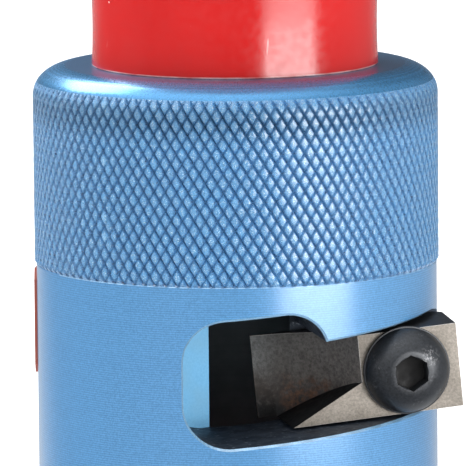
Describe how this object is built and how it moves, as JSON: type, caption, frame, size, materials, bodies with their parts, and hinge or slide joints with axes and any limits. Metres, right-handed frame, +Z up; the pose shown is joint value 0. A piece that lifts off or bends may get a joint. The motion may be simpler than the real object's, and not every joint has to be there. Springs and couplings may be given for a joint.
{
  "type": "pipe deburring tool",
  "caption": "Hand deburring tool: knurled blue aluminium head with a side cutter and spring-loaded inside reamer, on a free-turning red handle with a one-way clutch.",
  "frame": {"origin": "on the tool's axis, at the bottom face of the guide bush's flange", "axes": "+Z up the tool's axis from the pipe end to the handle; -Y out of the chip window; +X along the cutter bar towards its screw"},
  "size_m": [0.0486, 0.0486, 0.167],
  "materials": {
    "anodised_blue": "satin blue anodised, turned and knurled",
    "red_plastic": "semi-gloss red, turned",
    "tool_steel": "ground, slightly heat-tinted",
    "black_steel": "black oxide",
    "bright_steel": "turned and ground",
    "bronze": "sintered bronze",
    "aluminium": "turned",
    "rubber": "moulded",
    "label": "printed film"
  },
  "bodies": {
    "head": {"body": "anodised_blue", "cutter_blade": "tool_steel", "blade_screw": "black_steel", "guide_bush": "red_plastic", "bush_set_screw_1": "black_steel", "bush_set_screw_2": "black_steel", "bush_set_screw_3": "black_steel", "spindle_set_screw_1": "black_steel", "spindle_set_screw_2": "black_steel", "reamer_key_screw": "black_steel", "spindle": "bright_steel", "thrust_washer": "bronze", "spindle_washer": "bright_steel", "circlip": "bright_steel", "reamer_spring": "bright_steel", "size_label": "label"},
    "handle": {"handle_grip": "red_plastic", "handle_core": "aluminium", "handle_pin_1": "bright_steel", "handle_pin_2": "bright_steel", "clutch_cup": "bright_steel", "clutch_cage": "bronze", "clutch_roller_1": "bright_steel", "clutch_roller_2": "bright_steel", "clutch_roller_3": "bright_steel", "clutch_roller_4": "bright_steel", "clutch_roller_5": "bright_steel", "clutch_roller_6": "bright_steel", "clutch_roller_7": "bright_steel", "clutch_roller_8": "bright_steel", "upper_bush": "bronze", "end_cap": "red_plastic", "end_cap_o_ring": "rubber"},
    "reamer": {"cone_reamer": "bright_steel"}
  },
  "joints": [
    {"name": "grip_spin", "type": "hinge", "parent": "head", "child": "handle", "pos_m": [0, 0, 0.1], "axis": [0, 0, 1], "continuous": true},
    {"name": "reamer_slide", "type": "slide", "parent": "head", "child": "reamer", "axis": [0, 0, 1], "range_m": [0, 0.004], "stiffness_N_per_m": 600, "springref_m": -0.005, "deforming": ["reamer_spring"]}
  ]
}
